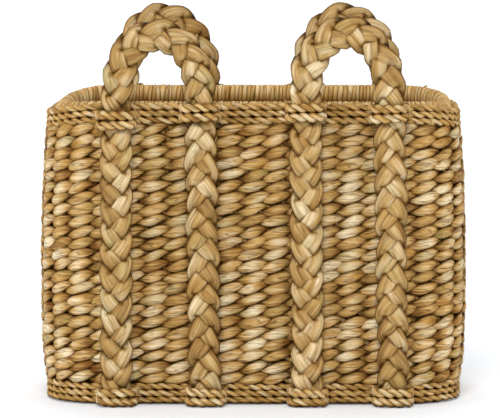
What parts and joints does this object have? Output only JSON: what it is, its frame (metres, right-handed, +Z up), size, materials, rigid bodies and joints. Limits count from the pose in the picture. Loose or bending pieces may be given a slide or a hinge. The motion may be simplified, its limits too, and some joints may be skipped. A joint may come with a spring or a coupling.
{
  "type": "magazine basket",
  "caption": "Rectangular woven rush basket with round corners, a wound rim and plaited loop handles, for standing magazines in.",
  "frame": {"origin": "on the floor, under the middle of the basket", "axes": "+X along the basket to its right end, +Y to its back, +Z up"},
  "size_m": [0.434, 0.2588, 0.396],
  "materials": {
    "rush_weave": "twined rush leaf, straw to khaki",
    "rush_winding": "wound rush leaf, straw",
    "rush_cord": "twisted rush cord, tan",
    "rush_plait": "plaited rush leaf, straw to tan",
    "frame_wire": "dark brown painted steel wire"
  },
  "bodies": {
    "root": {"wire_frame": "frame_wire", "woven_wall": "rush_weave", "base_mat": "rush_weave", "rim_winding": "rush_winding", "base_cord_lower": "rush_cord", "base_cord_middle": "rush_cord", "base_cord_upper": "rush_cord", "rim_cord_lower": "rush_cord", "rim_cord_middle": "rush_cord", "rim_cord_upper": "rush_cord", "front_left_plait": "rush_plait", "front_right_plait": "rush_plait", "back_left_plait": "rush_plait", "back_right_plait": "rush_plait", "front_left_outer_rim_lashing": "rush_cord", "front_left_inner_rim_lashing": "rush_cord", "front_right_inner_rim_lashing": "rush_cord", "front_right_outer_rim_lashing": "rush_cord", "back_left_outer_rim_lashing": "rush_cord", "back_left_inner_rim_lashing": "rush_cord", "back_right_inner_rim_lashing": "rush_cord", "back_right_outer_rim_lashing": "rush_cord", "front_left_outer_base_lashing": "rush_cord", "front_left_inner_base_lashing": "rush_cord", "front_right_inner_base_lashing": "rush_cord", "front_right_outer_base_lashing": "rush_cord", "back_left_outer_base_lashing": "rush_cord", "back_left_inner_base_lashing": "rush_cord", "back_right_inner_base_lashing": "rush_cord", "back_right_outer_base_lashing": "rush_cord"}
  },
  "joints": []
}
